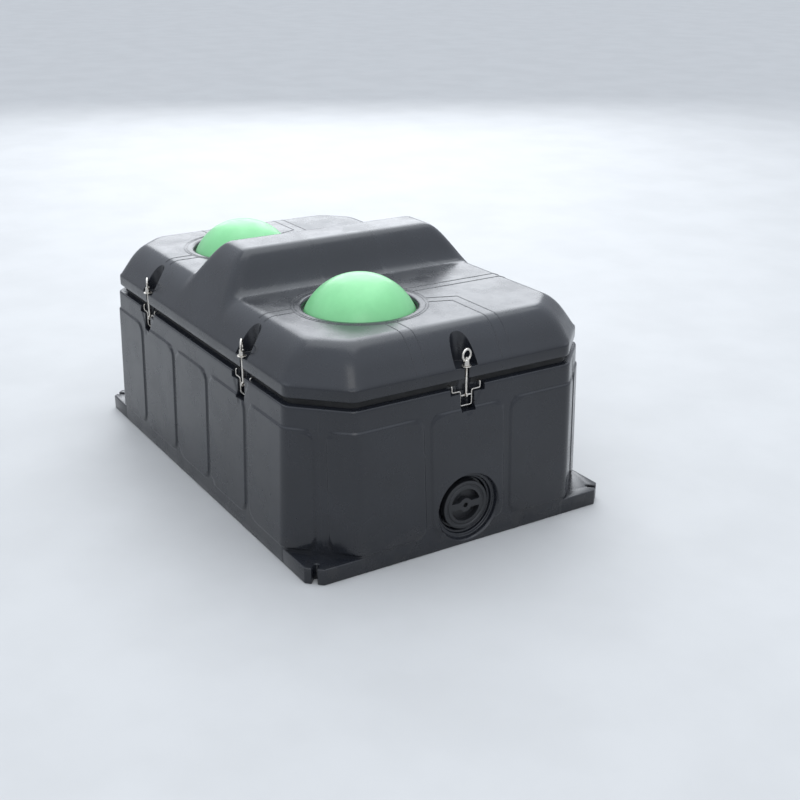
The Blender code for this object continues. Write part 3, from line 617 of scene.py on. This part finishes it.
def lid_rows(samples):
    """The lid's outer form as a solid, from its flat underside up to the middle of its top."""
    rows = [lid_ring(samples, d, z) for d, z in (
        (0.0025, LID_LOW), (0.0007, LID_LOW + 0.0007), (0.0, LID_LOW + 0.0025), (0.0, LID_LOW + 0.012),
        (0.0, LID_CREASE - 0.004), (0.0003, LID_CREASE - 0.0012), (0.0012, LID_CREASE + 0.0012))]
    rows += [lid_ring(samples, d) for d in (0.003, 0.0055, *np.arange(0.009, TOP_INSET, 0.0045))]
    return rows + [lid_ring(samples, TOP_INSET, scale=s) for s in SHRINKS]


def hollow_rows(samples):
    """The space under the lid, one skin inside its outer form."""
    wall = 0.0065
    rows = [lid_ring(samples, 0.007, LID_LOW - 0.02), lid_ring(samples, 0.007, LID_CREASE - 0.006)]
    for d in np.arange(0.006, TOP_INSET - 0.006, 0.008):
        drop = 0.6 * LID_SKIN + wall * SLOPE * max(0.0, 1 - d / 0.05)
        rows.append(lid_ring(samples, d + wall, lift=-drop))
    return rows + [lid_ring(samples, TOP_INSET, lift=-LID_SKIN, scale=s) for s in SHRINKS]


def lid_normal(x, y):
    """Upward unit normal of the lid's surface."""
    e = 0.001
    dx = (lid_height(x + e, y) - lid_height(x - e, y)) / (2 * e)
    dy = (lid_height(x, y + e) - lid_height(x, y - e)) / (2 * e)
    return Vector((-dx, -dy, 1.0)).normalized()


def relief_line(name, points, closed=False):
    """Thin moulded line that follows the lid's surface along an (x, y) path."""
    path = [Vector(p) for p in points]
    fine = []
    for a, b in zip(path, path[1:] + (path[:1] if closed else [])):
        steps = max(1, int((b - a).length / 0.004))
        fine += [a.lerp(b, k / steps) for k in range(steps)]
    if not closed:
        fine.append(path[-1])
    bm = bmesh.new()
    rows = []
    count = len(fine)
    for i, p in enumerate(fine):
        before = fine[i - 1] if closed or i else p
        after = fine[(i + 1) % count] if closed or i < count - 1 else p
        up = lid_normal(p.x, p.y)
        here = Vector((p.x, p.y, float(lid_height(p.x, p.y))))
        along = Vector((*(after - before), 0.0)).normalized()
        across = up.cross(along).normalized()
        rows.append([])
        for a in (math.pi * j / 6 for j in range(7)):
            out, off = LINE_WIDTH / 2 * math.cos(a), LINE_RISE * math.sin(a) - 0.0002
            rows[-1].append(bm.verts.new(here + across * out + up * off))
    for low, high in list(zip(rows, rows[1:])) + ([(rows[-1], rows[0])] if closed else []):
        for j in range(6):
            bm.faces.new((low[j], high[j], high[j + 1], low[j + 1]))
    bmesh.ops.recalc_face_normals(bm, faces=bm.faces)
    line = make_object(name, bm, BLACK, 80)
    ride(line, "lid", "moulded_black")


def make_relief_lines():
    """Two rings round each ball's mouth, and pairs of lines from them to the lid's end and sides."""
    edge_x, edge_y = HALF_L - LID_INSET - 0.003, HALF_W - LID_INSET - 0.058
    reach = RING_LINES[1]
    for word, s in (("front", 1), ("rear", -1)):
        for k, r in enumerate(RING_LINES):
            relief_line(f"lid_ring_{word}_{k}", circle(r, 96, (s * BALL_X, BALL_Y)), closed=True)
        for k, y in enumerate((-0.125, -0.097)):
            start = BALL_X + math.sqrt(reach ** 2 - (y - BALL_Y) ** 2)
            relief_line(f"lid_end_line_{word}_{k}", [(s * start, y), (s * edge_x, y)])
        relief_line(f"lid_bend_{word}_0", [(s * 0.3785, 0.0430), (s * 0.398, 0.097), (s * edge_x, 0.097)])
        relief_line(f"lid_bend_{word}_1", [(s * 0.350, 0.0535), (s * 0.376, 0.125), (s * edge_x, 0.125)])
        for k, x in enumerate((0.262, 0.290)):
            run = math.sqrt(reach ** 2 - (x - BALL_X) ** 2)
            relief_line(f"lid_side_line_{word}_{k}_far", [(s * x, BALL_Y + run), (s * x, edge_y)])
            relief_line(f"lid_side_line_{word}_{k}_near", [(s * x, BALL_Y - run), (s * x, -edge_y)])


def pocket_outline(grow):
    """Plan of a latch pocket in the lid's slope: an ellipse with blunt ends."""
    def blunt(v):
        return math.copysign(abs(v) ** 0.84, v)

    return [((0.050 + grow) * blunt(math.cos(a)) - LID_INSET, (0.0290 + grow) * blunt(math.sin(a)))
            for a in (math.tau * (k + 0.5) / 64 for k in range(64))]


def make_lid():
    """Outer form less the space under it, which the keepers hold off the collars, pockets and slots."""
    samples = []
    for k, length in enumerate(SIDE_LENGTHS):
        dense = [[(-0.05, 0.05, 0.005)], [], [(-0.16, 0.16, 0.0052)], []][k % 4]
        samples.append(side_samples(length, 0.012, (), dense))
    lid = skin("lid_visual", lid_rows(samples), BLACK, LID_SHARP)
    hollow = skin("lid_hollow", hollow_rows(samples))
    keepers, cutters = [], []
    for word, s in (("front", 1), ("rear", -1)):
        arc = [(HOLE_R + LIP - LIP * math.cos(a), LID_TOP - LIP + LIP * math.sin(a))
               for a in (math.pi / 2 * k / 8 for k in range(9))]
        profile = [(HOLE_R, 0.36)] + arc + [(HOLE_R + LIP + 0.0006, LID_TOP + 0.02)]
        place = Matrix.Translation((s * BALL_X, BALL_Y, 0))
        cutters.append(lathe(f"mouth_{word}", profile, 128, place))
        cutters.append(lathe(f"collar_{word}", [(COLLAR_R, 0.36), (COLLAR_R, SEAT_Z)], 96, place))
        around = [(COLLAR_R + 0.006, 0.35), (COLLAR_R + 0.006, 0.55)]
        keepers.append(lathe(f"collar_keep_{word}", around, 96, place))
    for name, place in LATCHES.items():
        cutters.append(prism(f"pocket_{name}", pocket_outline(0.0), LEDGE_Z, 0.54, place))
        keepers.append(prism(f"pocket_keep_{name}", pocket_outline(0.005), LEDGE_Z - 0.005, 0.545, place))
        slot = rounded_box(0.027, 0.006, 0.0055, 0.011)
        cutters.append(prism(f"rod_slot_{name}", slot, 0.36, LEDGE_Z + 0.01, place))
        keep = rounded_box(0.034, 0.0125, 0.0055, 0.011)
        keepers.append(prism(f"slot_keep_{name}", keep, 0.35, LEDGE_Z + 0.002, place))
    apply_cuts(hollow, keepers)
    apply_cuts(lid, [hollow] + cutters, LID_SHARP)
    ride(lid, "lid", "moulded_black", "lid_shell")
    make_relief_lines()


def make_gasket_and_gap_shade():
    """Soft black strip: the real gasket on the tub's land, carried out over the land's outer side up to the
    lid as a dark sheet of painted shade for the gap under the lid.
    """
    samples = [side_samples(length, 0.05) for length in SIDE_LENGTHS]

    def ring(inset, z):
        return with_height(outline(inset_corners(inset), samples), z)

    # painted shade: these rings wrap the land's outer side in black rubber, so the gap under the lid reads
    # dark
    levels = ((0.0172, 0.3736), (0.0168, 0.3760), (0.0168, 0.3870), (0.0180, 0.3894))
    strip = skin("lid_gasket_and_gap_shade_visual", [ring(d, z) for d, z in levels], RUBBER)
    cutters = [skin("gasket_inner", [ring(0.044, z) for z in (0.36, 0.40)])]
    for name, place in LATCHES.items():
        cutters.append(prism(f"gasket_gap_{name}", rounded_box(0.0246, 0.0186, 0.004), 0.36, 0.42, place))
    cutters.append(skin("gasket_land", [ring(LAND_INSET - 0.0002, z) for z in (0.36, LAND_Z + 0.0003)]))
    apply_cuts(strip, cutters)
    ride(strip, "base", "seal_rubber", "lid_gasket")


# ---------------------------------------------------------------- balls
def make_ball(word, s):
    bm = bmesh.new()
    bmesh.ops.create_uvsphere(bm, u_segments=96, v_segments=64, radius=BALL_R,
                              matrix=Matrix.Translation((s * BALL_X, BALL_Y, BALL_Z)))
    ball = make_object(f"ball_{word}_visual", bm, GREEN, 60)
    ride(ball, f"ball_{word}", "ball_green", f"ball_{word}")


def make_seal(word, s):
    """Rubber ring in the lid's collar, hollowed to the ball's own curve."""
    heights = np.linspace(SEAL_LOW, SEAL_HIGH, 6)
    profile = [(math.sqrt((BALL_R + 0.0006) ** 2 - (z - BALL_Z) ** 2), z) for z in heights]
    profile += [(SEAL_R, SEAL_HIGH), (SEAL_R, SEAL_LOW)]
    place = Matrix.Translation((s * BALL_X, BALL_Y, 0))
    seal = lathe(f"ball_seal_{word}_visual", profile, 96, place, True, RUBBER)
    ride(seal, "lid", "seal_rubber", f"ball_seal_{word}")


# ---------------------------------------------------------------- latches
def rounded_path(corners, radius, steps=6):
    """Path in space with each inner corner replaced by a short arc."""
    path = [Vector(corners[0])]
    for before, here, after in zip(corners, corners[1:], corners[2:]):
        here = Vector(here)
        start = here + (Vector(before) - here).normalized() * radius
        end = here + (Vector(after) - here).normalized() * radius
        for k in range(steps + 1):
            t = k / steps
            path.append(start * (1 - t) ** 2 + here * 2 * t * (1 - t) + end * t * t)
    return path + [Vector(corners[-1])]


def tube(bm, path, radius, sides=12):
    """Round wire along a path, with closed ends."""
    rows = []
    side = None
    for i, p in enumerate(path):
        along = (path[min(i + 1, len(path) - 1)] - path[max(i - 1, 0)]).normalized()
        side = along.orthogonal() if side is None else side - along * side.dot(along)
        side.normalize()
        up = along.cross(side)
        rows.append([bm.verts.new(p + side * c + up * d) for c, d in circle(radius, sides)])
    for low, high in zip(rows, rows[1:]):
        for i in range(sides):
            j = (i + 1) % sides
            bm.faces.new((low[i], low[j], high[j], high[i]))
    bm.faces.new(rows[0][::-1])
    bm.faces.new(rows[-1])


def make_bracket(name, place):
    """Bent wire: a hook into the wall at each end, two wings and the loop that carries the pin."""
    x, low, wing_z, hook_z = -LATCH_INSET, 0.3285, 0.3625, 0.3775
    half = [(-0.026, WING, hook_z), (x, WING, hook_z), (x, WING, wing_z),
            (x, U_HALF, wing_z), (x, U_HALF, low)]
    corners = half + [(px, -py, pz) for px, py, pz in reversed(half)]
    bm = bmesh.new()
    tube(bm, [place @ p for p in rounded_path(corners, 0.0042)], WIRE_R)
    bracket = make_object(f"wire_bracket_{name}", bm, STEEL, 60)
    ride(bracket, "base", "stainless_steel", f"latch_bracket_{name}")


def make_bolt(name, place):
    """Swing bolt: an eye on the pin and a rod, threaded over its upper half."""
    at = place @ Matrix.Translation((-LATCH_INSET, 0, 0))
    profile = [(BOLT_R - 0.0003, PIVOT_Z + 0.0035), (BOLT_R - 0.0003, THREAD_LOW - 0.0005)]
    for k in range(math.ceil((THREAD_TOP - THREAD_LOW) / PITCH)):
        z = THREAD_LOW + k * PITCH
        profile += [(BOLT_R - 0.0005, z), (BOLT_R, z + PITCH * 0.4), (BOLT_R, z + PITCH * 0.55)]
    profile.append((BOLT_R - 0.0007, THREAD_TOP + 0.001))
    bm = bmesh.new()
    revolve(bm, profile, 20, at)
    eye = at @ Matrix.Translation((0, 0, PIVOT_Z)) @ Matrix.Rotation(math.pi / 2, 4, "X")
    oval = [(0.0042 + 0.0018 * c, 0.0024 * d) for c, d in circle(1.0, 12)]
    revolve(bm, oval, 32, eye, True)
    bmesh.ops.recalc_face_normals(bm, faces=bm.faces)
    bolt = make_object(f"swing_bolt_{name}_visual", bm, STEEL, 40)
    ride(bolt, f"latch_{name}", "stainless_steel", f"swing_bolt_{name}")
    section = [(0.0035, 0.0), (WASHER_R, 0.0), (WASHER_R, WASHER_T), (0.0035, WASHER_T)]
    seat = at @ Matrix.Translation((0, 0, WASHER_Z))
    disc = lathe(f"washer_{name}_visual", rounded_profile(section, 0.0004, 3), 48, seat, True, STEEL)
    ride(disc, f"latch_{name}", "stainless_steel", f"latch_washer_{name}")


def make_ring_nut(name, place):
    """Threaded collar with a round ring on top, each stopped at a turn of its own."""
    twist = {"end_front": 0.25, "end_rear": -0.3, "left_front": -0.55, "left_rear": -0.4}.get(name, 0.35)
    seat = Matrix.Translation((-LATCH_INSET, 0, WASHER_Z + NUT_LIFT))
    at = place @ seat @ Matrix.Rotation(twist, 4, "Z")
    bm = bmesh.new()
    collar = rounded_profile([
        (0.0034, 0.0), (0.0072, 0.0), (0.0068, 0.0035), (0.0058, 0.0085), (0.0060, 0.0118),
        (0.0048, 0.0142), (0.0034, 0.0144)], 0.0008, 3)
    revolve(bm, collar, 40, at, True)
    upright = at @ Matrix.Translation((0, 0, 0.0235)) @ Matrix.Rotation(math.pi / 2, 4, "Y")
    revolve(bm, circle(0.0027, 16, (0.0125, 0.0)), 56, upright, True)
    bmesh.ops.recalc_face_normals(bm, faces=bm.faces)
    nut = make_object(f"ring_nut_{name}_visual", bm, STEEL, 40)
    ride(nut, f"nut_{name}", "stainless_steel", f"ring_nut_{name}")


# ---------------------------------------------------------------- drain
def kidney(name, sign, place):
    """Bean-shaped finger hole on one side of the cap's grip bar, which swells round the hub."""
    outer, hub, bar, steps = 0.0385, 0.0165, 0.0080, 24
    start, bite = math.asin(bar / outer), math.asin(bar / hub)
    loop = [(outer * math.cos(a), outer * math.sin(a)) for a in np.linspace(start, math.pi - start, steps)]
    loop += [(hub * math.cos(a), hub * math.sin(a)) for a in np.linspace(math.pi - bite, bite, steps // 2)]
    loop = np.array(loop)
    for _ in range(4):          # each pass cuts every corner at a quarter of its sides
        following = np.roll(loop, -1, axis=0)
        cut = [loop * 0.75 + following * 0.25, loop * 0.25 + following * 0.75]
        loop = np.concatenate(cut, axis=1).reshape(-1, 2)
    return prism(name, [(-sign * y, sign * x) for x, y in loop], -KIDNEY_DEPTH, 0.02, place)


def make_drain():
    """Screwed drain cap: spigot, raised rim, and a grip bar left between two kidney-shaped holes."""
    place = DRAIN_PLACE @ Matrix.Translation((0, 0, CAP_FACE))
    back = CAP_BACK - CAP_FACE
    corners = [(0.0395, 0.552 - CAP_FACE), (0.0395, back), (CAP_R, back), (CAP_R, 0.0), (0.0505, 0.0),
               (0.0495, -0.0022), (0.0465, -0.0022), (0.0455, -0.0004), (0.004, -0.0002)]
    cap = lathe("drain_plug_visual", rounded_profile(corners, 0.0018), 96, place, False, CAP_BLACK)
    socket = lathe("cap_socket", [(0.0058, -0.009), (0.0058, 0.02)], 32, place)
    apply_cuts(cap, [kidney("grip_upper", 1, place), kidney("grip_lower", -1, place), socket])
    ride(cap, "drain_plug", "moulded_black", "drain_plug")


# ---------------------------------------------------------------- stage
def aimed(name, data, place, at):
    """Adds a lamp or camera that looks from one point at another."""
    made = bpy.data.objects.new(name, data)
    made.location = place
    made.rotation_euler = (Vector(at) - Vector(place)).to_track_quat("-Z", "Y").to_euler()
    bpy.context.scene.collection.objects.link(made)
    return made


def make_floor():
    bpy.ops.mesh.primitive_plane_add(size=160)
    floor = bpy.context.object
    floor.name = "floor"
    floor.data.materials.append(ground_material())


def make_sky():
    """Overcast light: dimmer at the horizon, brighter overhead."""
    world = bpy.data.worlds.new("studio")
    bpy.context.scene.world = world
    world.use_nodes = True
    tree = world.node_tree
    sky = tree.nodes["Background"]
    sky.inputs["Strength"].default_value = 1.05
    where = tree.nodes.new("ShaderNodeTexCoord")
    split = tree.nodes.new("ShaderNodeSeparateXYZ")
    ramp = tree.nodes.new("ShaderNodeValToRGB")
    tree.links.new(where.outputs["Generated"], split.inputs[0])
    tree.links.new(split.outputs["Z"], ramp.inputs["Fac"])
    tree.links.new(ramp.outputs["Color"], sky.inputs["Color"])
    low, high = ramp.color_ramp.elements
    low.position, low.color = 0.0, (0.42, 0.44, 0.48, 1.0)
    high.position, high.color = 0.70, (1.08, 1.16, 1.28, 1.0)


def make_lamps():
    for name, place, size, power, colour in (
            ("overhead", (-0.6, 0.6, 3.6), 3.2, 46.0, (0.93, 0.97, 1.0)),
            ("key", (3.4, -1.6, 3.0), 2.2, 20.0, (1.0, 0.98, 0.95)),
            ("sky_behind", (-4.4, 2.4, 3.1), 4.4, 150.0, (0.93, 0.96, 1.0))):
        lamp = bpy.data.lights.new(name, "AREA")
        lamp.size, lamp.energy, lamp.color = size, power, colour
        aimed(name, lamp, place, (0, 0, 0.3))


def make_camera():
    lens = bpy.data.cameras.new("view")
    lens.lens, lens.sensor_width = 54.98, 36.0
    bpy.context.scene.camera = aimed("view", lens, (2.6236, -1.4194, 1.3166), (0.3515, -0.0156, 0.26))
    bpy.context.scene.view_settings.view_transform = "Standard"


def repaint_cad():
    """Gives each CAD node that still shows the look of its material slot."""
    slots = {s["node"]: s["material_slot"] for s in frame["record"]["subparts"]}
    for name, node in frame["nodes"].items():
        for place in node.material_slots:
            place.link = "OBJECT"
            place.material = LOOKS[slots[name]]


repaint_cad()
make_tub()
for word, sx, sy in LUGS:
    make_lug(word, sx, sy)
make_lid()
make_gasket_and_gap_shade()
for word, s in (("front", 1), ("rear", -1)):
    make_ball(word, s)
    make_seal(word, s)
for name, place in LATCHES.items():
    make_bracket(name, place)
    make_bolt(name, place)
    make_ring_nut(name, place)
make_drain()
make_floor()
make_sky()
make_lamps()
make_camera()
